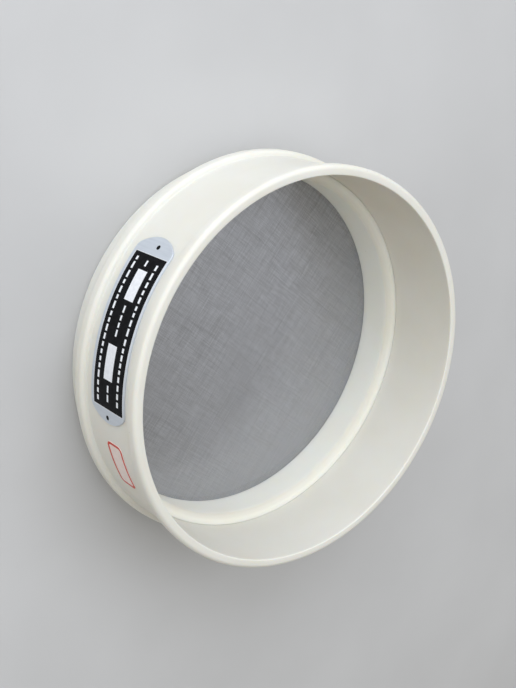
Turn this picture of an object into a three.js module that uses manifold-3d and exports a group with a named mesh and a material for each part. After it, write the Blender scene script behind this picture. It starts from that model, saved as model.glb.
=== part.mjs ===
// Stackable round sieve: a moulded frame with a socket on top and a spigot below, a press-in
// hoop that stretches the wire cloth across the bottom, and two labels on the waist.
// Millimetres, +Z up. The sieve's axis is Z and it stands on the foot of its spigot at z = 0.

import * as THREE from 'three';
import { mergeGeometries, mergeVertices } from 'three/addons/utils/BufferGeometryUtils.js';
import Module from 'manifold-3d';

const wasm = await Module();
wasm.setup();

// Driving dimensions: socket and lip of the frame
const SOCKET_RADIUS = 100; // inside of the mouth, which gives the sieve its nominal size
const SOCKET_DEPTH = 41; // rim to the hoop's shoulder
const SOCKET_DRAFT = 1.5; // how much the socket narrows down to the shoulder
const RIM_WALL = 2; // wall at the mouth, between socket and waist
const RIM_EDGE = 0.6; // rounding of the rim's inner edge
const FLANGE_PROUD = 3; // how far the lip and the skirt stand out from the waist
const LIP_HEIGHT = 5.5; // rim down to the fillet under the lip
const LIP_ROUND = 2.2; // rounding of the lip's outer edge
const LIP_FILLET = 4; // hollow blend from the lip into the waist

// Driving dimensions: stacking skirt and spigot of the frame
const SKIRT_WALL = 3.4; // thick enough for its underside to rest on the rim of the sieve below
const SKIRT_ROUND = 2; // rounding of the skirt's lower outer edge
const SKIRT_SHOULDER = 2.4; // rounding of the skirt's upper outer edge
const SKIRT_STEP = 0.8; // height of the small blend from the waist into the skirt's shoulder
const SKIRT_CROWN = 2.3; // height of the waist's foot above the cored groove
const WEB_THICKNESS = 4.7; // floor between the hoop's ledge and the cored groove
const GROOVE_ROUND = 1; // rounding in the top corners of the cored groove
const SPIGOT_LENGTH = 13.5; // foot to the skirt's underside
const SPIGOT_WALL = 2.4;
const NEST_CLEARANCE = 1.4; // between a spigot and the mouth that it nests in
const FOOT_LEAD = 0.8; // lead-in on the spigot's lower outer edge
const EDGE_BREAK = 0.4; // small chamfer on the frame's other lower edges

// Driving dimensions: hoop and cloth
const WELL_DEPTH = 21.3; // shoulder down to the cloth
const HOOP_WALL = 2.9;
const HOOP_FLANGE = 2.5; // thickness of the flange that shows as the shoulder
const HOOP_EDGE = 3.2; // rounding of the shoulder's inner edge
const SEAT_HEIGHT = 4.7; // foot to the seat that the cloth's edge lies on
const CLOTH_THICKNESS = 0.6;
const WIRE_PITCH = 10.4;
const WIRE_WIDTH = 1.2;
const WEAVE_TURN = -18.7; // degrees from the X axis to the run of the wires

// Driving dimensions: labels on the waist
const NAMEPLATE_LENGTH = 90.6; // end to end, straight across the curve
const NAMEPLATE_WIDTH = 29;
const NAMEPLATE_THICKNESS = 0.6;
const NAMEPLATE_BULGE = 6.5; // how far each end curves out past the straight sides
const NAMEPLATE_CORNER = 4;
const STICKER_LENGTH = 26;
const STICKER_WIDTH = 13;
const STICKER_THICKNESS = 0.3;
const STICKER_CORNER = 3;
const STICKER_TURN = 39.6; // degrees round the waist from the nameplate's middle
const LABEL_RAISE = 1; // how far both labels sit above the middle of the waist

const FIT = 0.3; // gap between pieces that seat on each other
const SEGMENTS = 72; // facets in a full turn
const ARC_STEPS = 4; // facets in a rounded edge

// Radii that follow, from the outside in
const waistRadius = SOCKET_RADIUS + RIM_WALL;
const flangeRadius = waistRadius + FLANGE_PROUD;
const grooveRadius = flangeRadius - SKIRT_WALL;
const ledgeRadius = SOCKET_RADIUS - SOCKET_DRAFT;
const spigotRadius = SOCKET_RADIUS - NEST_CLEARANCE;
const boreRadius = spigotRadius - SPIGOT_WALL;
const hoopRadius = boreRadius - FIT;
const wellRadius = hoopRadius - HOOP_WALL;

// Heights that follow, from the foot up
const clothUnderside = SEAT_HEIGHT + FIT;
const clothTop = clothUnderside + CLOTH_THICKNESS;
const shoulderHeight = clothTop + WELL_DEPTH;
const flangeUnderside = shoulderHeight - HOOP_FLANGE;
const ledgeHeight = flangeUnderside - FIT;
const grooveTop = ledgeHeight - WEB_THICKNESS;
const waistFoot = grooveTop + SKIRT_CROWN;
const rimHeight = shoulderHeight + SOCKET_DEPTH;
const filletSweep = Math.acos(1 - FLANGE_PROUD / LIP_FILLET);
const waistTop = rimHeight - LIP_HEIGHT - LIP_FILLET * Math.sin(filletSweep);
const labelHeight = (waistFoot + waistTop) / 2 + LABEL_RAISE;

// Point of a profile
function point(radius, height) {
  return new THREE.Vector2(radius, height);
}

// Points of an arc in a profile, angles in turns of pi, both ends included
function arc(centreR, centreZ, radius, from, to) {
  const points = [];
  for (let step = 0; step <= ARC_STEPS; step += 1) {
    const angle = Math.PI * (from + ((to - from) * step) / ARC_STEPS);
    points.push(point(centreR + radius * Math.cos(angle), centreZ + radius * Math.sin(angle)));
  }
  return points;
}

// Geometry with shared vertices and nothing but positions
function welded(geometry) {
  geometry.deleteAttribute('normal');
  geometry.deleteAttribute('uv');
  return mergeVertices(geometry, 1e-4);
}

// Solid turned about Z from (radius, height) points, given anticlockwise
function turnedSolid(profile) {
  const solid = new THREE.LatheGeometry(profile, SEGMENTS);
  solid.rotateX(Math.PI / 2);
  return welded(solid);
}

// Ring turned from a profile that closes on itself, clear of the axis
function turnedRing(profile) {
  return turnedSolid([...profile, profile[0]]);
}

function toManifold(geometry) {
  const vertProperties = new Float32Array(geometry.attributes.position.array);
  const triVerts = new Uint32Array(geometry.index.array);
  return new wasm.Manifold(new wasm.Mesh({ numProp: 3, vertProperties, triVerts }));
}

function fromManifold(solid) {
  const mesh = solid.getMesh();
  const geometry = new THREE.BufferGeometry();
  geometry.setAttribute('position', new THREE.BufferAttribute(new Float32Array(mesh.vertProperties), 3));
  geometry.setIndex(new THREE.BufferAttribute(new Uint32Array(mesh.triVerts), 1));
  return geometry;
}

function sieveFrame() {
  return turnedRing([
    // foot of the spigot, then up its outside into the cored groove
    point(wellRadius, EDGE_BREAK),
    point(wellRadius + EDGE_BREAK, 0),
    point(spigotRadius - FOOT_LEAD, 0),
    point(spigotRadius, FOOT_LEAD),
    ...arc(spigotRadius + GROOVE_ROUND, grooveTop - GROOVE_ROUND, GROOVE_ROUND, 1, 0.5),
    ...arc(grooveRadius - GROOVE_ROUND, grooveTop - GROOVE_ROUND, GROOVE_ROUND, 0.5, 0),
    // underside and outside of the skirt, then the blend up to the waist
    point(grooveRadius, SPIGOT_LENGTH + EDGE_BREAK),
    point(grooveRadius + EDGE_BREAK, SPIGOT_LENGTH),
    ...arc(flangeRadius - SKIRT_ROUND, SPIGOT_LENGTH + SKIRT_ROUND, SKIRT_ROUND, -0.5, 0),
    ...arc(flangeRadius - SKIRT_SHOULDER, waistFoot - SKIRT_STEP - SKIRT_SHOULDER, SKIRT_SHOULDER, 0, 0.5),
    point(waistRadius, waistFoot),
    // hollow blend under the lip, the lip itself and the rim
    ...arc(waistRadius + LIP_FILLET, waistTop, LIP_FILLET, 1, 1 - filletSweep / Math.PI),
    ...arc(flangeRadius - LIP_ROUND, rimHeight - LIP_ROUND, LIP_ROUND, 0, 0.5),
    ...arc(SOCKET_RADIUS + RIM_EDGE, rimHeight - RIM_EDGE, RIM_EDGE, 0.5, 1),
    // drafted socket wall, the hoop's ledge, the bore and the cloth's seat
    point(ledgeRadius, shoulderHeight),
    point(ledgeRadius, ledgeHeight),
    point(boreRadius, ledgeHeight),
    point(boreRadius, SEAT_HEIGHT),
    point(wellRadius, SEAT_HEIGHT),
  ]);
}

function meshHoop() {
  const flangeEdge = ledgeRadius - FIT;
  return turnedRing([
    point(wellRadius, clothTop + FIT),
    point(hoopRadius, clothTop + FIT),
    point(hoopRadius, flangeUnderside),
    point(flangeEdge, flangeUnderside),
    point(flangeEdge, shoulderHeight),
    ...arc(wellRadius + HOOP_EDGE, shoulderHeight - HOOP_EDGE, HOOP_EDGE, 0.5, 1),
  ]);
}

// Plain disc about the axis
function disc(radius, underside, top) {
  return turnedSolid([point(0, underside), point(radius, underside), point(radius, top), point(0, top)]);
}

// Square gaps of the net, cut off where the hoop clamps the cloth
function clothGaps() {
  const gap = WIRE_PITCH - WIRE_WIDTH;
  const rows = Math.ceil(wellRadius / WIRE_PITCH);
  const squares = [];
  for (let row = -rows; row < rows; row += 1) {
    for (let column = -rows; column < rows; column += 1) {
      const x = (column + 0.5) * WIRE_PITCH;
      const y = (row + 0.5) * WIRE_PITCH;
      const innerCorner = Math.hypot(Math.abs(x) - gap / 2, Math.abs(y) - gap / 2);
      if (innerCorner < wellRadius - WIRE_WIDTH) {
        squares.push(new THREE.BoxGeometry(gap, gap, 6 * CLOTH_THICKNESS).translate(x, y, clothTop));
      }
    }
  }
  const inWell = disc(wellRadius, clothUnderside - CLOTH_THICKNESS, clothTop + CLOTH_THICKNESS);
  return toManifold(welded(mergeGeometries(squares))).intersect(toManifold(inWell));
}

// Flat net, clamped between the hoop and the seat: the wires are what the gaps leave
function wireCloth() {
  const blank = disc(hoopRadius, clothUnderside, clothTop);
  return fromManifold(toManifold(blank).subtract(clothGaps()));
}

// Plate outline: straight sides, ends that curve out, and corners that blend the two
function nameplateOutline() {
  const halfWidth = NAMEPLATE_WIDTH / 2;
  const endRadius = (halfWidth ** 2 + NAMEPLATE_BULGE ** 2) / (2 * NAMEPLATE_BULGE);
  const endCentre = NAMEPLATE_LENGTH / 2 - endRadius;
  const cornerHeight = halfWidth - NAMEPLATE_CORNER;
  const cornerReach = Math.sqrt((endRadius - NAMEPLATE_CORNER) ** 2 - cornerHeight ** 2);
  const blend = Math.atan2(cornerHeight, cornerReach);
  const corner = endCentre + cornerReach;
  const outline = new THREE.Shape();
  outline.absarc(corner, -cornerHeight, NAMEPLATE_CORNER, -Math.PI / 2, -blend);
  outline.absarc(endCentre, 0, endRadius, -blend, blend);
  outline.absarc(corner, cornerHeight, NAMEPLATE_CORNER, blend, Math.PI / 2);
  outline.absarc(-corner, cornerHeight, NAMEPLATE_CORNER, Math.PI / 2, Math.PI - blend);
  outline.absarc(-endCentre, 0, endRadius, Math.PI - blend, Math.PI + blend);
  outline.absarc(-corner, -cornerHeight, NAMEPLATE_CORNER, Math.PI + blend, (3 * Math.PI) / 2);
  return outline;
}

function stickerOutline() {
  const reach = STICKER_LENGTH / 2 - STICKER_CORNER;
  const rise = STICKER_WIDTH / 2 - STICKER_CORNER;
  const outline = new THREE.Shape();
  outline.absarc(reach, -rise, STICKER_CORNER, -Math.PI / 2, 0);
  outline.absarc(reach, rise, STICKER_CORNER, 0, Math.PI / 2);
  outline.absarc(-reach, rise, STICKER_CORNER, Math.PI / 2, Math.PI);
  outline.absarc(-reach, -rise, STICKER_CORNER, Math.PI, (3 * Math.PI) / 2);
  return outline;
}

// Thin label bent round the waist: a shell of the waist cut to the outline as seen from -Y
function waistLabel(outline, thickness) {
  const inside = waistRadius + FIT;
  const outside = inside + thickness;
  const shell = turnedRing([
    point(inside, waistFoot),
    point(outside, waistFoot),
    point(outside, waistTop),
    point(inside, waistTop),
  ]);
  const cutter = new THREE.ExtrudeGeometry(outline, {
    depth: outside,
    bevelEnabled: false,
    curveSegments: ARC_STEPS * 2,
  });
  cutter.rotateX(Math.PI / 2);
  cutter.translate(0, 0, labelHeight);
  return fromManifold(toManifold(shell).intersect(toManifold(welded(cutter))));
}

function piece(name, geometry, colour, roughness, metalness) {
  const material = new THREE.MeshStandardMaterial({ color: colour, roughness, metalness });
  const mesh = new THREE.Mesh(geometry, material);
  mesh.name = name;
  return mesh;
}

const sieve = new THREE.Group();
sieve.add(piece('sieve_frame', sieveFrame(), 0xe9e6da, 0.42, 0));
sieve.add(piece('mesh_hoop', meshHoop(), 0xe6e2d0, 0.45, 0));
sieve.add(piece('nameplate', waistLabel(nameplateOutline(), NAMEPLATE_THICKNESS), 0xaab4c4, 0.35, 0.9));

const cloth = piece('wire_cloth', wireCloth(), 0x9c9a98, 0.35, 1);
cloth.rotation.z = THREE.MathUtils.degToRad(WEAVE_TURN);
sieve.add(cloth);

const stickerFilm = waistLabel(stickerOutline(), STICKER_THICKNESS);
const sticker = piece('inspection_sticker', stickerFilm, 0xe2d6cc, 0.5, 0);
sticker.rotation.z = THREE.MathUtils.degToRad(STICKER_TURN);
sieve.add(sticker);

export default sieve;
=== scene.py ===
import math
import random

import bpy
from mathutils import Matrix, Vector


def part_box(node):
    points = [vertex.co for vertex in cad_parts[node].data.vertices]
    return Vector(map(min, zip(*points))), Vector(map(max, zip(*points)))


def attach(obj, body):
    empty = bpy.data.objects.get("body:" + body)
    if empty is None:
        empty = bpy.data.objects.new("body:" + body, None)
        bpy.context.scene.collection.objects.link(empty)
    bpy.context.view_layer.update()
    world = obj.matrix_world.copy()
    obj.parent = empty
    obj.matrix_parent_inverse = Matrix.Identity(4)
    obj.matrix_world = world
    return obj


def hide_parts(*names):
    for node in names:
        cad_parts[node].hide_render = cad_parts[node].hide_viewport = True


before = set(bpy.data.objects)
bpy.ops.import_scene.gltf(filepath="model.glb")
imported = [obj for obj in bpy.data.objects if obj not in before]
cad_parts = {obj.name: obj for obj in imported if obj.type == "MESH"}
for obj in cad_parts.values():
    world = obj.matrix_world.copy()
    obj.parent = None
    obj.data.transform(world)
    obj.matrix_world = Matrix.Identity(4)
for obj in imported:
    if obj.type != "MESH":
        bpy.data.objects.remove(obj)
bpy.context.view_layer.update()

# Flour sieve: a moulded frame, a press-in hoop, fine wire cloth, a nameplate and a small label

MM = 0.001
ROOT = "root"


# Radii and heights taken from the frame, in metres

frame_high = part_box("sieve_frame")[1]
hoop_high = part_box("mesh_hoop")[1]
cloth_low, cloth_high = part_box("wire_cloth")
plate_low, plate_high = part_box("nameplate")
label_low, label_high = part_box("inspection_sticker")

# How far the dressed frame keeps inside its box, and the gap round the hoop's flange in the solids
INSIDE_BOX = 0.01 * MM
HOOP_GAP = 0.3 * MM

WAIST_DEPTH = 3.0 * MM
LIP_WIDTH = 5.0 * MM

FLANGE = frame_high.x - INSIDE_BOX
RIM = frame_high.z
WAIST = FLANGE - WAIST_DEPTH
MOUTH = FLANGE - LIP_WIDTH
SHOULDER = hoop_high.z
LEDGE = hoop_high.x + HOOP_GAP
CLOTH = (cloth_low.z + cloth_high.z) / 2
PLATE_FACE = -plate_low.y
PLATE_MIDDLE = (plate_low.z + plate_high.z) / 2
LABEL_MIDDLE = (label_low.z + label_high.z) / 2


# Sizes that the boxes of the frame don't give

WELL = 93.0 * MM
BORE = 96.2 * MM
LEDGE_DEPTH = 2.6 * MM
WEAVE_TURN = math.radians(-18.7)

# From the middle of the cloth to its seat and to the hoop, and from the waist to what is stuck on it
CLOTH_ROOM = 0.11 * MM
STUCK_GAP = 0.02 * MM


# Outlines

def arc(centre_x, centre_y, radius, start, end, steps):
    """Points of an arc, angles in degrees, both ends included."""
    points = []
    for step in range(steps + 1):
        angle = math.radians(start + (end - start) * step / steps)
        points.append((centre_x + radius * math.cos(angle), centre_y + radius * math.sin(angle)))
    return points


def corner(x, y, radius, start, steps, turn=90):
    """Arc that rounds the corner at a point, from a start angle in degrees."""
    middle = math.radians(start + turn / 2)
    centre_x = x - math.copysign(radius, math.cos(middle))
    centre_y = y - math.copysign(radius, math.sin(middle))
    return arc(centre_x, centre_y, radius, start, start + turn, steps)


def line(start, end, steps):
    """Points along a straight run, the far end left out."""
    return [
        (start[0] + (end[0] - start[0]) * step / steps, start[1] + (end[1] - start[1]) * step / steps)
        for step in range(steps)
    ]


def rounded_outline(along, height, length, width, radius, steps=8, side=16):
    """Rounded rectangle about a point, anticlockwise as seen from outside."""
    quarters = ((1, -1, -90), (1, 1, 0), (-1, 1, 90), (-1, -1, 180))
    rounds = [
        corner(along + right * length / 2, height + up * width / 2, radius, start, steps)
        for right, up, start in quarters
    ]
    outline = []
    for index, points in enumerate(rounds):
        following = rounds[(index + 1) % len(rounds)]
        outline += points[:-1] + line(points[-1], following[0], side)
    return outline


def mirrored_columns(half, along, height):
    """Columns of a shape from its right half, which is given as (distance from its middle, half height)."""
    both = [(-reach, rise) for reach, rise in reversed(half[1:])] + half
    return [(along + reach, height - rise, height + rise) for reach, rise in both]


# Solids, each a tuple of vertices, faces and a bake map with one (u, v) per face corner

# Largest share of a column's height that a bevel takes at each end
BEVEL_SHARE = 0.45


def quad_map(u0, u1, v0, v1):
    """Bake map of a face between two columns and two rows."""
    return [(u0, v0), (u1, v0), (u1, v1), (u0, v1)]


def joined(solids):
    """Several solids as one."""
    vertices, faces, maps = [], [], []
    for solid_vertices, solid_faces, solid_maps in solids:
        first = len(vertices)
        vertices += solid_vertices
        faces += [tuple(first + index for index in face) for face in solid_faces]
        maps += solid_maps
    return vertices, faces, maps


def swept(sections, shares=None, closed=True):
    """Solid through sections with as many points each, closed to a ring or capped at both ends."""
    rows = len(sections[0])
    shares = shares or [row / rows for row in range(rows + 1)]
    steps = len(sections) if closed else len(sections) - 1
    vertices = [point for section in sections for point in section]
    faces, maps = [], []
    for step in range(steps):
        here = step * rows
        there = (step + 1) % len(sections) * rows
        for row in range(rows):
            after = (row + 1) % rows
            faces.append((here + row, there + row, there + after, here + after))
            maps += quad_map(step / steps, (step + 1) / steps, shares[row], shares[row + 1])
    if not closed:
        faces.append(tuple(reversed(range(rows))))
        faces.append(tuple(steps * rows + row for row in range(rows)))
        maps += [(0.0, row / rows) for row in reversed(range(rows))]
        maps += [(1.0, row / rows) for row in range(rows)]
    return vertices, faces, maps


def turned(profile, segments=240):
    """Ring turned about Z from a closed profile of (radius, height), given anticlockwise."""
    count = len(profile)
    lengths = [0.0]
    for index in range(count):
        lengths.append(lengths[-1] + math.dist(profile[index], profile[(index + 1) % count]))
    sections = []
    for segment in range(segments):
        angle = 2 * math.pi * segment / segments
        sections.append([(r * math.cos(angle), r * math.sin(angle), z) for r, z in profile])
    return swept(sections, [length / lengths[-1] for length in lengths])


def on_waist(along, height, radius):
    """Point at a distance round the waist from the middle of the plate."""
    angle = along / PLATE_FACE
    return (radius * math.sin(angle), -radius * math.cos(angle), height)


def bent_patch(columns, inner, outer, bevel):
    """Thin patch bent round the waist between two radii, from columns of (distance round, low, high)."""
    start, end = columns[0][0], columns[-1][0]
    middle, half = (start + end) / 2, (end - start) / 2
    shrink = (half - bevel) / half
    sections = []
    for along, low, high in columns:
        inset = min(bevel, (high - low) * BEVEL_SHARE)
        face = middle + (along - middle) * shrink
        sections.append([
            on_waist(along, low, inner),
            on_waist(along, low, outer - bevel),
            on_waist(face, low + inset, outer),
            on_waist(face, high - inset, outer),
            on_waist(along, high, outer - bevel),
            on_waist(along, high, inner),
        ])
    return swept(sections, closed=False)


def bent_border(outline, inside, inner, outer):
    """Thin printed line bent round the waist, between two outlines with as many points each."""
    sections = []
    for edge, inside_edge in zip(outline, inside):
        sections.append([
            on_waist(*edge, inner),
            on_waist(*edge, outer),
            on_waist(*inside_edge, outer),
            on_waist(*inside_edge, inner),
        ])
    return swept(sections)


def piece(name, solid, material, node=None, sharp=40):
    """Mesh object that rides on the root, smooth up to an angle in degrees."""
    vertices, faces, maps = solid
    mesh = bpy.data.meshes.new(name)
    mesh.from_pydata(vertices, [], faces)
    layer = mesh.uv_layers.new(name="OFBake")
    layer.data.foreach_set("uv", [value for place in maps for value in place])
    mesh.materials.append(material)
    mesh.polygons.foreach_set("use_smooth", [True] * len(faces))
    mesh.set_sharp_from_angle(angle=math.radians(sharp))
    mesh.validate()
    made = bpy.data.objects.new(name, mesh)
    bpy.context.scene.collection.objects.link(made)
    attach(made, ROOT)
    if node:
        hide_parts(node)
    return made


# Shader nodes

# Sockets of the colour form of the mix node, by number because its other forms share their names
MIX_FACTOR = 0
MIX_FIRST = 6
MIX_SECOND = 7
MIX_RESULT = 2


def shader(name, **values):
    """Material with a principled shader, its steady values set on the sockets themselves."""
    made = bpy.data.materials.new(name)
    made.use_nodes = True
    tree = made.node_tree
    surface = next(node for node in tree.nodes if node.type == "BSDF_PRINCIPLED")
    for socket, value in values.items():
        surface.inputs[socket.replace("_", " ")].default_value = value
    return made, tree, surface


def position(tree):
    """Place on the object, in metres."""
    return tree.nodes.new("ShaderNodeTexCoord").outputs["Object"]


def mapped(tree, kind, location, turn, scale):
    """Place on the object, moved, turned about Z and scaled by a mapping of the kind POINT or TEXTURE."""
    node = tree.nodes.new("ShaderNodeMapping")
    node.vector_type = kind
    node.inputs["Location"].default_value = location
    node.inputs["Rotation"].default_value = (0.0, 0.0, turn)
    node.inputs["Scale"].default_value = scale
    tree.links.new(position(tree), node.inputs["Vector"])
    return node.outputs["Vector"]


def noise_at(tree, place, scale, detail):
    """Noise read at a mapped place."""
    node = tree.nodes.new("ShaderNodeTexNoise")
    node.inputs["Scale"].default_value = scale
    node.inputs["Detail"].default_value = detail
    tree.links.new(place, node.inputs["Vector"])
    return node.outputs["Fac"]


def noise(tree, scale, detail=3.0, stretch=(1.0, 1.0, 1.0)):
    """Cloudy noise with about as many lumps to the metre as its scale says."""
    return noise_at(tree, mapped(tree, "POINT", (0.0, 0.0, 0.0), 0.0, stretch), scale, detail)


def ramp(tree, factor, stops):
    """Colour that runs through stops of (position, colour)."""
    node = tree.nodes.new("ShaderNodeValToRGB")
    points = node.color_ramp.elements
    while len(points) < len(stops):
        points.new(0.5)
    for point, (place, colour) in zip(points, stops):
        point.position = place
        point.color = (*colour, 1.0)
    tree.links.new(factor, node.inputs["Fac"])
    return node.outputs["Color"]


def span(tree, factor, low, high, start=0.3, end=0.7):
    """Value that runs from low to high while the factor runs from start to end."""
    node = tree.nodes.new("ShaderNodeMapRange")
    for socket, value in (("From Min", start), ("From Max", end), ("To Min", low), ("To Max", high)):
        node.inputs[socket].default_value = value
    tree.links.new(factor, node.inputs["Value"])
    return node.outputs["Result"]


def mix(tree, factor, first, second, blend="MIX"):
    """Two colours mixed; each input is a number, a colour or a socket."""
    node = tree.nodes.new("ShaderNodeMix")
    node.data_type = "RGBA"
    node.blend_type = blend
    for number, value in ((MIX_FACTOR, factor), (MIX_FIRST, first), (MIX_SECOND, second)):
        socket = node.inputs[number]
        if isinstance(value, float):
            socket.default_value = value
        elif isinstance(value, tuple):
            socket.default_value = (*value, 1.0)
        else:
            tree.links.new(value, socket)
    return node.outputs[MIX_RESULT]


def bump(tree, surface, height, strength, distance):
    """Fine relief on a surface, its depth in metres."""
    node = tree.nodes.new("ShaderNodeBump")
    node.inputs["Strength"].default_value = strength
    node.inputs["Distance"].default_value = distance
    tree.links.new(height, node.inputs["Height"])
    tree.links.new(node.outputs["Normal"], surface.inputs["Normal"])


# Ivory plastic of the frame and the hoop

# Scales of its noises
CLOUDS = 28.0
SPECKS = 420.0
SHEEN = 75.0
GRAIN = 900.0

DUST = (0.36, 0.31, 0.22)
# Painted shade on the hoop's round under its shoulder: none, full, at the very top, and how far down it
# reaches
NO_SHADE = (1.0, 1.0, 1.0)
ROUND_SHADE = (0.83, 0.815, 0.79)
TOP_SHADE = (0.92, 0.905, 0.88)
SHADE_DEPTH = 5.0 * MM


def shaded_round(tree, colour, top):
    """Colour darkened on the round just below a height: painted shade that tones down the light the round
    catches.
    """
    split = tree.nodes.new("ShaderNodeSeparateXYZ")
    tree.links.new(position(tree), split.inputs["Vector"])
    height = span(tree, split.outputs["Z"], 0.0, 1.0, top - SHADE_DEPTH, top)
    painted_shade = ramp(tree, height, [(0.1, NO_SHADE), (0.45, ROUND_SHADE), (0.8, ROUND_SHADE), (1.0, TOP_SHADE)])
    return mix(tree, 1.0, colour, painted_shade, "MULTIPLY")


def moulded_plastic(name, pale, warm, smooth, rough, gloss=0.5, shade_top=None):
    """Translucent, with faint mottling, dust, an uneven sheen and, given a height, painted shade on the
    round below it.
    """
    made, tree, surface = shader(
        name,
        Subsurface_Weight=0.35,
        Subsurface_Scale=6.0 * MM,
        Subsurface_Radius=(1.0, 0.72, 0.45),
        IOR=1.49,
        Specular_IOR_Level=gloss,
    )
    cloudy = ramp(tree, noise(tree, CLOUDS), [(0.35, pale), (0.68, warm)])
    specks = span(tree, noise(tree, SPECKS, 1.0), 0.0, 0.5, start=0.80, end=0.86)
    colour = mix(tree, specks, cloudy, DUST)
    # Painted shade on the round just below the given height
    if shade_top:
        colour = shaded_round(tree, colour, shade_top)
    tree.links.new(colour, surface.inputs["Base Color"])
    tree.links.new(span(tree, noise(tree, SHEEN), smooth, rough), surface.inputs["Roughness"])
    bump(tree, surface, noise(tree, GRAIN, 4.0), strength=0.08, distance=0.08 * MM)
    return made


# Steel of the wires, with a crosshatch that fades across the cloth

WIRE_DARK = (0.412, 0.417, 0.439)
WIRE_LIGHT = (0.55, 0.555, 0.582)
STREAK_LENGTH = 9.0 * MM
STREAK_WIDTH = 0.40 * MM
STREAK_TONES = (0.81, 1.19)
SEAM_LENGTH = 90.0 * MM
SEAM_WIDTH = 1.1 * MM
SEAM_TONES = (1.0, 0.84)

# Points of the cloth between which the crosshatch fades, and the share and scale of the noise in the fade;
# the faded side is lighter, a painted reflection of the bright wall
HATCH_FADE_FROM = Vector((-80.0 * MM, -60.0 * MM))
HATCH_FADE_TO = Vector((70.0 * MM, 70.0 * MM))
FADE_CLOUD_SHARE = 0.35
FADE_CLOUDS = 22.0

# Where the cloth cuts the noise: halfway between its layers, so that no grid shows
NOISE_CUT = 0.5


def weave_noise(tree, along, across, detail):
    """Noise drawn out along one run of the wires, sizes in metres."""
    place = mapped(tree, "TEXTURE", (0.0, 0.0, NOISE_CUT), WEAVE_TURN, (along, across, 1.0))
    return noise_at(tree, place, 1.0, detail)


def fade(tree, start, end):
    """Runs from 1 at one point of the cloth to 0 at another, with a cloudy edge."""
    reach = start - end
    turn = math.atan2(reach.y, reach.x)
    gradient = tree.nodes.new("ShaderNodeTexGradient")
    place = mapped(tree, "TEXTURE", (*end, 0.0), turn, (reach.length, reach.length, 1.0))
    tree.links.new(place, gradient.inputs["Vector"])
    clouds = span(tree, noise(tree, FADE_CLOUDS, 2.0), 0.0, 1.0)
    return mix(tree, FADE_CLOUD_SHARE, gradient.outputs["Color"], clouds)


def wire_steel():
    """Grey of each wire from its own tone, then streaks and long dark seams along both runs; these fade out
    towards one side, which leaves it lighter as painted reflected light.
    """
    made, tree, surface = shader("wire_steel", Metallic=0.7, IOR=2.0)
    tone = tree.nodes.new("ShaderNodeAttribute")
    tone.attribute_name = "wire_tone"
    grey = ramp(tree, tone.outputs["Fac"], [(0.0, WIRE_DARK), (1.0, WIRE_LIGHT)])
    # Fade of the crosshatch: partly a pattern of the weave, partly painted reflection that lightens one
    # side
    hatch_fade = fade(tree, HATCH_FADE_FROM, HATCH_FADE_TO)
    for along, across in ((STREAK_LENGTH, STREAK_WIDTH), (STREAK_WIDTH, STREAK_LENGTH)):
        streak = span(tree, weave_noise(tree, along, across, 1.0), *STREAK_TONES, start=0.36, end=0.64)
        grey = mix(tree, hatch_fade, grey, streak, "MULTIPLY")
    for along, across in ((SEAM_LENGTH, SEAM_WIDTH), (SEAM_WIDTH, SEAM_LENGTH)):
        seam = span(tree, weave_noise(tree, along, across, 0.0), *SEAM_TONES, start=0.66, end=0.78)
        grey = mix(tree, hatch_fade, grey, seam, "MULTIPLY")
    tree.links.new(grey, surface.inputs["Base Color"])
    tree.links.new(span(tree, noise(tree, 60.0), 0.28, 0.37), surface.inputs["Roughness"])
    return made


# Metal of the plate, inks, label film and floor paint

PLATE_DARK = (0.55, 0.59, 0.635)
PLATE_LIGHT = (0.60, 0.64, 0.685)


def brushed_plate():
    """Pale metal with a brushed grain that runs up the plate."""
    made, tree, surface = shader("plate_metal", Metallic=0.35)
    brushed = noise(tree, 900.0, stretch=(1.0, 1.0, 0.06))
    colour = ramp(tree, brushed, [(0.3, PLATE_DARK), (0.7, PLATE_LIGHT)])
    tree.links.new(colour, surface.inputs["Base Color"])
    tree.links.new(span(tree, noise(tree, 140.0), 0.30, 0.42), surface.inputs["Roughness"])
    bump(tree, surface, brushed, strength=0.05, distance=0.05 * MM)
    return made


def mottled(name, dark, light, scale, detail, end=0.7, grain=None, **values):
    """Colour that drifts between two shades, with a grain of (scale, strength, depth) if one is given."""
    made, tree, surface = shader(name, **values)
    colour = ramp(tree, noise(tree, scale, detail), [(0.3, dark), (end, light)])
    tree.links.new(colour, surface.inputs["Base Color"])
    if grain:
        grain_scale, strength, depth = grain
        bump(tree, surface, noise(tree, grain_scale), strength, depth)
    return made


frame_plastic = moulded_plastic(
    "ivory_frame",
    pale=(0.722, 0.708, 0.643),
    warm=(0.70, 0.68, 0.60),
    smooth=0.40,
    rough=0.52,
)
# The hoop is paler than the frame: partly its own tone, partly painted light that stands in for light on
# the wall of the well
hoop_plastic = moulded_plastic(
    "ivory_hoop",
    pale=(0.915, 0.89, 0.80),
    warm=(0.895, 0.865, 0.76),
    smooth=0.60,
    rough=0.72,
    gloss=0.3,
    # Painted shade on the round under the shoulder, which dims its highlight
    shade_top=SHOULDER,
)
steel = wire_steel()
plate_metal = brushed_plate()
black_print = mottled(
    "black_print",
    dark=(0.003, 0.003, 0.0035),
    light=(0.009, 0.009, 0.0105),
    scale=600.0,
    detail=4.0,
    end=0.75,
    grain=(1500.0, 0.05, 0.04 * MM),
    Roughness=0.42,
    Specular_IOR_Level=0.05,
)
white_print = mottled(
    "white_print",
    dark=(0.74, 0.75, 0.77),
    light=(0.84, 0.85, 0.86),
    scale=700.0,
    detail=4.0,
    Roughness=0.5,
)
film = mottled(
    "label_film",
    dark=(0.80, 0.66, 0.60),
    light=(0.85, 0.73, 0.67),
    scale=300.0,
    detail=5.0,
    grain=(260.0, 0.06, 0.1 * MM),
    Roughness=0.46,
)
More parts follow.
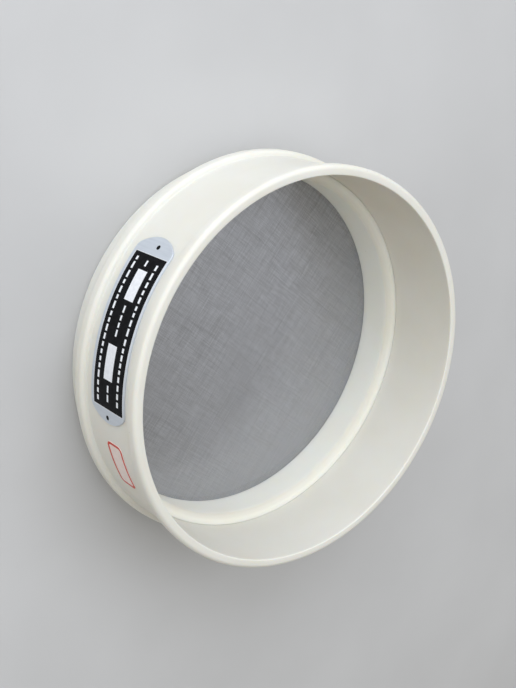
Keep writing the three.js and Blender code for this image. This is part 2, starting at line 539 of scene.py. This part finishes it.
red_print = mottled(
    "red_print",
    dark=(0.56, 0.035, 0.014),
    light=(0.66, 0.06, 0.022),
    scale=500.0,
    detail=4.0,
    Roughness=0.45,
)
floor_paint = mottled(
    "pale_floor",
    dark=(0.525, 0.52, 0.51),
    light=(0.565, 0.56, 0.55),
    scale=9.0,
    detail=3.0,
    grain=(700.0, 0.05, 0.1 * MM),
    Roughness=0.7,
)


# Frame: lip, waist, stepped skirt, cored groove, spigot and socket

# Spigot, and the small rounds of foot and skirt
SPIGOT = 98.6 * MM
LEAD_IN = 0.8 * MM
SMALL_ROUND = 0.4 * MM

# Cored groove between the spigot and the skirt
SKIRT_WALL = 3.4 * MM
GROOVE_TOP = 19.4 * MM
GROOVE_ROUND = 1.0 * MM

# Skirt and lower end of the waist: heights above the foot, then rounds
SKIRT_UNDERSIDE = 13.5 * MM
SKIRT_TOP = 20.9 * MM
WAIST_START = 23.7 * MM
SKIRT_LOWER_ROUND = 2.0 * MM
SKIRT_UPPER_ROUND = 2.4 * MM
WAIST_FOOT_ROUND = 0.8 * MM

# Lip and mouth: depths below the rim, then rounds and the inset where the draft of the socket starts
FILLET_END = 5.5 * MM
LIP_DEPTH = 5.6 * MM
DRAFT_START = 3.5 * MM
FILLET = 4.0 * MM
LIP_LOWER_ROUND = 0.5 * MM
LIP_UPPER_ROUND = 2.2 * MM
MOUTH_ROUND = 0.6 * MM
DRAFT_INSET = 0.1 * MM

# Turns in degrees of the rounds that stop short of a quarter, and what the fillet under the lip leaves off
SKIRT_UPPER_TURN = 86.4
WAIST_FOOT_TURN = 86
LIP_LOWER_TURN = 70
FILLET_SHORT = 6


def frame_profile():
    """Section of the frame, from the inner edge of its foot up the outside and down the socket and bore."""
    groove = FLANGE - SKIRT_WALL
    sweep = math.degrees(math.acos(1 - WAIST_DEPTH / FILLET))
    waist_top = RIM - FILLET_END - FILLET * math.sin(math.radians(sweep))
    ledge_height = SHOULDER - LEDGE_DEPTH
    seat = CLOTH - CLOTH_ROOM
    return [
        *corner(WELL, 0.0, SMALL_ROUND, 180, 4),
        (SPIGOT - LEAD_IN, 0.0),
        (SPIGOT, LEAD_IN),
        *corner(SPIGOT, GROOVE_TOP, GROOVE_ROUND, 180, 6, -90),
        *corner(groove, GROOVE_TOP, GROOVE_ROUND, 90, 6, -90),
        *corner(groove, SKIRT_UNDERSIDE, SMALL_ROUND, 180, 4),
        *corner(FLANGE, SKIRT_UNDERSIDE, SKIRT_LOWER_ROUND, -90, 10),
        *corner(FLANGE, SKIRT_TOP, SKIRT_UPPER_ROUND, 0, 12, SKIRT_UPPER_TURN),
        *corner(WAIST, SKIRT_TOP, WAIST_FOOT_ROUND, 180 + WAIST_FOOT_TURN, 8, -WAIST_FOOT_TURN),
        *line((WAIST, WAIST_START), (WAIST, waist_top), 10),
        *arc(WAIST + FILLET, waist_top, FILLET, 180, 180 - sweep + FILLET_SHORT, 14),
        *corner(FLANGE, RIM - LIP_DEPTH, LIP_LOWER_ROUND, -LIP_LOWER_TURN, 5, LIP_LOWER_TURN),
        *corner(FLANGE, RIM, LIP_UPPER_ROUND, 0, 12),
        *corner(MOUTH, RIM, MOUTH_ROUND, 90, 8),
        *line((MOUTH - DRAFT_INSET, RIM - DRAFT_START), (LEDGE, SHOULDER), 12),
        (LEDGE, SHOULDER),
        (LEDGE, ledge_height),
        (BORE, ledge_height),
        (BORE, seat),
        *line((WELL, seat), (WELL, SMALL_ROUND), 3),
    ]


piece("frame_ring", turned(frame_profile()), frame_plastic, "sieve_frame")


# Hoop: flange that shows as the shoulder, rounded into the wall of the well

HOOP_FLANGE = 2.55 * MM
HOOP_WALL_START = 6.0 * MM
HOOP_ROUND = 0.3 * MM
HOOP_EDGE_ROUND = 4.7 * MM

# Gaps that are left in the frame
HOOP_BORE_GAP = 0.1 * MM
HOOP_LEDGE_GAP = 0.08 * MM


def hoop_profile():
    """Section of the hoop, from the inner edge of its foot up the outside and down the well."""
    foot = CLOTH + CLOTH_ROOM
    outside = BORE - HOOP_BORE_GAP
    flange_edge = LEDGE - HOOP_LEDGE_GAP
    flange_under = SHOULDER - HOOP_FLANGE
    return [
        *corner(WELL, foot, HOOP_ROUND, 180, 4),
        (outside, foot),
        (outside, flange_under),
        (flange_edge, flange_under),
        *corner(flange_edge, SHOULDER, HOOP_ROUND, 0, 4),
        *corner(WELL, SHOULDER, HOOP_EDGE_ROUND, 90, 18),
        *line((WELL, SHOULDER - HOOP_WALL_START), (WELL, foot + HOOP_ROUND), 6),
    ]


piece("hoop_ring", turned(hoop_profile()), hoop_plastic, "mesh_hoop")


# Wire cloth: two layers of straight, flat-topped wires at the pitch of real cloth, spaced a little unevenly

PITCH = 0.2117 * MM
CLOTH_EDGE = 95.4 * MM
WIRES = int(2 * CLOTH_EDGE / PITCH)
LAYER_RISE = 0.005 * MM

# A wire's section, from its middle to a corner and its height against its width, and the steps along it
WIRE_CORNER = 0.056 * MM
WIRE_FLATNESS = 0.6
SIDES = 4
RUNS = 10

# Share of a pitch by which each wire strays anew, and how much of its neighbour's stray it keeps
STRAY = 0.03
STRAY_KEPT = 0.86

# Places, one for each layer, where three wires have slipped by a share of a pitch
SLIPPED = (11.1 * MM, 29.9 * MM)
SLIPPED_REACH = 1.5 * PITCH
SLIP = 0.55

# Tones run from 0 to 1, and a small share of the wires is plainly darker or lighter
MIDDLE_TONE = 0.5
TONE_SPREAD = 0.1
ODD_SHARE = 0.03
ODD_TONE = 0.4

# Height of a wire's strip in the bake map, as a share of its row, and length there of its end faces
ROW_HEIGHT = 0.5 / WIRES
STRIP_SHARE = 0.7
STRIP_END = 0.001


def wire_places(layer, chance):
    """Number, distance from the middle and tone of each wire of a layer."""
    stray = 0.0
    for number in range(WIRES):
        stray = STRAY_KEPT * stray + chance.gauss(0, STRAY)
        even = (number - WIRES / 2 + 0.5) * PITCH
        slip = SLIP if abs(even - SLIPPED[layer]) < SLIPPED_REACH else 0.0
        offset = even + (stray + slip) * PITCH
        if abs(offset) > CLOTH_EDGE - PITCH:
            continue
        odd = chance.choice((-ODD_TONE, ODD_TONE)) if chance.random() < ODD_SHARE else 0.0
        tone = MIDDLE_TONE + chance.gauss(0, TONE_SPREAD) + odd
        yield number, offset, min(max(tone, 0.0), 1.0)


def straight_wire(centre, half_run, across, low):
    """One wire as a solid, its strip of the bake map starting at a height."""
    high = low + STRIP_SHARE * ROW_HEIGHT
    vertices, faces = [], []
    for step in range(RUNS + 1):
        place = centre + half_run * (2 * step / RUNS - 1)
        for side in range(SIDES):
            angle = 2 * math.pi * (side + 0.5) / SIDES
            spoke = across * math.cos(angle) + Vector((0, 0, WIRE_FLATNESS)) * math.sin(angle)
            vertices.append(place + spoke * WIRE_CORNER)
    for step in range(RUNS):
        here, there = SIDES * step, SIDES * (step + 1)
        for side in range(SIDES):
            after = (side + 1) % SIDES
            faces.append((here + side, here + after, there + after, there + side))
    faces.append(tuple(reversed(range(SIDES))))
    faces.append(tuple(SIDES * RUNS + side for side in range(SIDES)))
    strips = [(step / RUNS, (step + 1) / RUNS) for step in range(RUNS) for _ in range(SIDES)]
    strips += [(0.0, STRIP_END), (1.0, 1.0 - STRIP_END)]
    maps = [place for u0, u1 in strips for place in ((u0, low), (u0, high), (u1, high), (u1, low))]
    return vertices, faces, maps


def wire_cloth():
    """Both layers as one piece that carries the tone of each wire."""
    chance = random.Random(7)
    wires, tones = [], []
    for layer, rise in enumerate((LAYER_RISE, -LAYER_RISE)):
        turn = WEAVE_TURN + layer * math.pi / 2
        run = Vector((math.cos(turn), math.sin(turn), 0))
        across = Vector((-math.sin(turn), math.cos(turn), 0))
        middle = Vector((0, 0, CLOTH + rise))
        for number, offset, tone in wire_places(layer, chance):
            half = math.sqrt(CLOTH_EDGE ** 2 - offset ** 2)
            low = (layer * WIRES + number) * ROW_HEIGHT
            wires.append(straight_wire(middle + across * offset, run * half, across, low))
            tones += [tone] * SIDES * (RUNS + 1)
    made = piece("cloth_wires", joined(wires), steel, "wire_cloth", sharp=30)
    attribute = made.data.attributes.new("wire_tone", "FLOAT", "POINT")
    attribute.data.foreach_set("value", tones)


wire_cloth()


# Nameplate: thin plate with rounded ends, bent round the waist

PLATE_HALF = math.asin(plate_high.x / PLATE_FACE) * PLATE_FACE
PLATE_RISE = (plate_high.z - plate_low.z) / 2
PLATE_BULGE = 6.5 * MM
PLATE_CORNER = 4.0 * MM
PLATE_BEVEL = 0.18 * MM

# Degrees at which the arc of an end stops, so that the last column keeps a height
PLATE_LAST_ANGLE = 1.2


def plate_columns():
    """Straight sides, blended corners and ends that curve out."""
    end_radius = (PLATE_RISE ** 2 + PLATE_BULGE ** 2) / (2 * PLATE_BULGE)
    centre = PLATE_HALF - end_radius
    rise = PLATE_RISE - PLATE_CORNER
    reach = centre + math.sqrt((end_radius - PLATE_CORNER) ** 2 - rise ** 2)
    blend = math.degrees(math.atan2(rise, reach - centre))
    half = line((0.0, PLATE_RISE), (reach, PLATE_RISE), 24)
    half += arc(reach, rise, PLATE_CORNER, 90, blend, 10)
    half += arc(centre, 0.0, end_radius, blend, PLATE_LAST_ANGLE, 16)[1:]
    return mirrored_columns(half, 0.0, PLATE_MIDDLE)


plate = bent_patch(plate_columns(), WAIST + STUCK_GAP, PLATE_FACE, PLATE_BEVEL)
piece("plate_body", plate, plate_metal, "nameplate", sharp=30)


# Print on the plate: a dark field with an edge line, two bare boxes, two dots and rows of plain dashes

# Depth to which ink sinks in, and the thickness of each ink
INK_SUNK = 0.01 * MM
DARK_INK = 0.03 * MM
LINE_INK = 0.035 * MM
WHITE_INK = 0.05 * MM

PRINT = PLATE_FACE - INK_SUNK
PRINT_BEVEL = 0.005 * MM
LINE_WIDTH = 0.25 * MM
LINE_ROUND = 0.2 * MM
FIELD_ROUND = 0.05 * MM

# Share of the half turn that a disc leaves off at each end
DISC_MARGIN = 0.03

# Places in millimetres from the middle of the plate: start, end, low and high of each rectangle
FIELD = (-36.9, 39.3, -12.0, 13.5)
BOXES = ((-29.0, -13.6, -2.7, 4.7), (8.0, 25.0, -3.5, 3.8))

# Distance along the plate and height of each dot, in the same way
DOTS = ((-41.6, 1.6), (43.9, -0.3))
DOT_RADIUS = 1.2

# Height, thickness and the runs from start to end of each row of dashes, in the same way
ROWS = (
    (9.0, 1.5, ((-33.5, 36.5),)),
    (0.5, 1.3, ((-34.0, -31.0), (-11.0, 5.5), (27.5, 36.0))),
    (-8.2, 1.5, ((-34.5, 37.0),)),
)
DASH_LENGTHS = (1.9, 3.6)
DASH_GAPS = (1.0, 1.5)
DASH_ROOM = 1.5


def rectangle(start, end, low, high, steps=24):
    """Columns of a rectangle on the plate, in millimetres from its middle."""
    bottom, top = PLATE_MIDDLE + low * MM, PLATE_MIDDLE + high * MM
    return [((start + (end - start) * step / steps) * MM, bottom, top) for step in range(steps + 1)]


def disc(along, height, radius, steps=20):
    """Columns of a disc on the plate, in millimetres from its middle, a sliver left off at each end."""
    columns = []
    for step in range(steps + 1):
        angle = math.pi * (DISC_MARGIN + (1 - 2 * DISC_MARGIN) * step / steps)
        reach, rise = radius * math.cos(angle), radius * math.sin(angle)
        bottom, top = PLATE_MIDDLE + (height - rise) * MM, PLATE_MIDDLE + (height + rise) * MM
        columns.append(((along - reach) * MM, bottom, top))
    return columns


def dashes(start, end, height, thickness, chance):
    """Columns of each plain dash along a run, their lengths and gaps uneven."""
    bars = []
    while start < end - DASH_ROOM:
        finish = min(start + chance.uniform(*DASH_LENGTHS), end)
        bars.append(rectangle(start, finish, height - thickness / 2, height + thickness / 2, 4))
        start = finish + chance.uniform(*DASH_GAPS)
    return bars


def printed(name, shapes, ink, material):
    """Shapes of print as one piece."""
    patches = [bent_patch(columns, PRINT, PRINT + ink, PRINT_BEVEL) for columns in shapes]
    piece(name, joined(patches), material, sharp=30)


def key_line():
    """White line round the dark field."""
    start, end, low, high = (side * MM for side in FIELD)
    along, height = (start + end) / 2, PLATE_MIDDLE + (low + high) / 2
    length, width = end - start, high - low
    far_length, far_width = length + 2 * LINE_WIDTH, width + 2 * LINE_WIDTH
    outline = rounded_outline(along, height, far_length, far_width, LINE_ROUND, steps=3, side=40)
    inside = rounded_outline(along, height, length, width, FIELD_ROUND, steps=3, side=40)
    border = bent_border(outline, inside, PRINT, PRINT + LINE_INK)
    piece("plate_key_line", border, white_print)


printed("plate_field", [rectangle(*FIELD, 48)], DARK_INK, black_print)
key_line()
for number, box in enumerate(BOXES, 1):
    printed(f"plate_box_{number}", [rectangle(*box)], WHITE_INK, white_print)
for number, (along, height) in enumerate(DOTS, 1):
    printed(f"plate_dot_{number}", [disc(along, height, DOT_RADIUS)], DARK_INK, black_print)
row_chance = random.Random(11)
for number, (height, thickness, runs) in enumerate(ROWS, 1):
    bars = [bar for start, end in runs for bar in dashes(start, end, height, thickness, row_chance)]
    printed(f"plate_row_{number}", bars, WHITE_INK, white_print)


# Small label: pale film with a printed red edge

LABEL_TURN = math.radians(39.6)
LABEL_PLACE = LABEL_TURN * PLATE_FACE
LABEL_LENGTH = 26.1 * MM
LABEL_WIDTH = label_high.z - label_low.z
LABEL_THICKNESS = 0.3 * MM
LABEL_FACE = WAIST + LABEL_THICKNESS
LABEL_ROUND = 3.0 * MM
LABEL_BEVEL = 0.05 * MM
RED_MARGIN = 0.15 * MM
RED_WIDTH = 1.4 * MM
RED_INK = 0.03 * MM


def label_columns():
    """Rounded rectangle."""
    half = line((0.0, LABEL_WIDTH / 2), (LABEL_LENGTH / 2 - LABEL_ROUND, LABEL_WIDTH / 2), 12)
    half += corner(LABEL_LENGTH / 2, LABEL_WIDTH / 2, LABEL_ROUND, 90, 10, -90)
    return mirrored_columns(half, LABEL_PLACE, LABEL_MIDDLE)


def label_outline(margin):
    """Outline that keeps a margin from the label's edge."""
    length, width = LABEL_LENGTH - 2 * margin, LABEL_WIDTH - 2 * margin
    return rounded_outline(LABEL_PLACE, LABEL_MIDDLE, length, width, LABEL_ROUND - margin)


label = bent_patch(label_columns(), WAIST + STUCK_GAP, LABEL_FACE, LABEL_BEVEL)
piece("label_film", label, film, "inspection_sticker", sharp=30)
red_edge = bent_border(
    label_outline(RED_MARGIN),
    label_outline(RED_MARGIN + RED_WIDTH),
    LABEL_FACE - INK_SUNK,
    LABEL_FACE + RED_INK,
)
piece("label_edge", red_edge, red_print)


# Floor

FLOOR_REACH = 4.0

floor_mesh = bpy.data.meshes.new("floor")
floor_corners = [(x * FLOOR_REACH, y * FLOOR_REACH, 0.0) for x, y in ((-1, -1), (1, -1), (1, 1), (-1, 1))]
floor_mesh.from_pydata(floor_corners, [], [(0, 1, 2, 3)])
floor_mesh.materials.append(floor_paint)
floor = bpy.data.objects.new("floor", floor_mesh)
bpy.context.scene.collection.objects.link(floor)


# Soft studio light: four large lamps and an even fill

LIGHT_COLOUR = (0.857, 0.905, 1.0)
LIGHT_DISTANCE = 1.6
LIGHT_TARGET = Vector((0, 0, 30.0 * MM))
FILL_COLOUR = (1.0, 0.95, 0.83, 1.0)
FILL_STRENGTH = 0.32

# Name, direction from the part, size in metres and power in watts of each lamp
LIGHTS = (
    ("low_light", (-0.785, -0.453, 0.423), 1.5, 18.4),
    ("high_light", (-0.410, -0.287, 0.866), 1.5, 7.6),
    ("front_light", (-0.03, -0.785, 0.616), 1.7, 12.4),
    ("back_light", (-0.304, 0.434, 0.848), 1.5, 6.4),
)


def area_light(name, towards, size, power):
    """Square lamp that faces the part."""
    data = bpy.data.lights.new(name, "AREA")
    data.shape = "SQUARE"
    data.size = size
    data.energy = power
    data.color = LIGHT_COLOUR
    light = bpy.data.objects.new(name, data)
    direction = Vector(towards).normalized()
    light.location = direction * LIGHT_DISTANCE + LIGHT_TARGET
    light.rotation_mode = "QUATERNION"
    light.rotation_quaternion = direction.to_track_quat("Z", "Y")
    bpy.context.scene.collection.objects.link(light)


for lamp in LIGHTS:
    area_light(*lamp)

world = bpy.data.worlds.new("studio")
world.use_nodes = True
background = next(node for node in world.node_tree.nodes if node.type == "BACKGROUND")
background.inputs["Color"].default_value = FILL_COLOUR
background.inputs["Strength"].default_value = FILL_STRENGTH
bpy.context.scene.world = world
bpy.context.scene.view_settings.view_transform = "Standard"


# Camera at the photograph's viewing angle, from a perspective fit of the sieve's circles

CAMERA_PLACE = (-0.06827, -0.38860, 0.45352)
CLIP_START = 10.0 * MM

# Directions in the picture: to its right, to its top and out of it
CAMERA_RIGHT = Vector((-0.29243, 0.73239, 0.61489))
CAMERA_UP = Vector((-0.94969, -0.14702, -0.27654))
CAMERA_BACK = Vector((-0.11213, -0.66482, 0.73854))

# Blender takes these two in millimetres
SENSOR_WIDTH = 36.0
LENS = 57.56

camera_data = bpy.data.cameras.new("camera")
camera_data.sensor_width = SENSOR_WIDTH
camera_data.lens = LENS
camera_data.clip_start = CLIP_START
camera = bpy.data.objects.new("camera", camera_data)
camera_turn = Matrix((CAMERA_RIGHT, CAMERA_UP, CAMERA_BACK)).transposed()
camera.matrix_world = Matrix.Translation(CAMERA_PLACE) @ camera_turn.to_4x4()
bpy.context.scene.collection.objects.link(camera)
bpy.context.scene.camera = camera
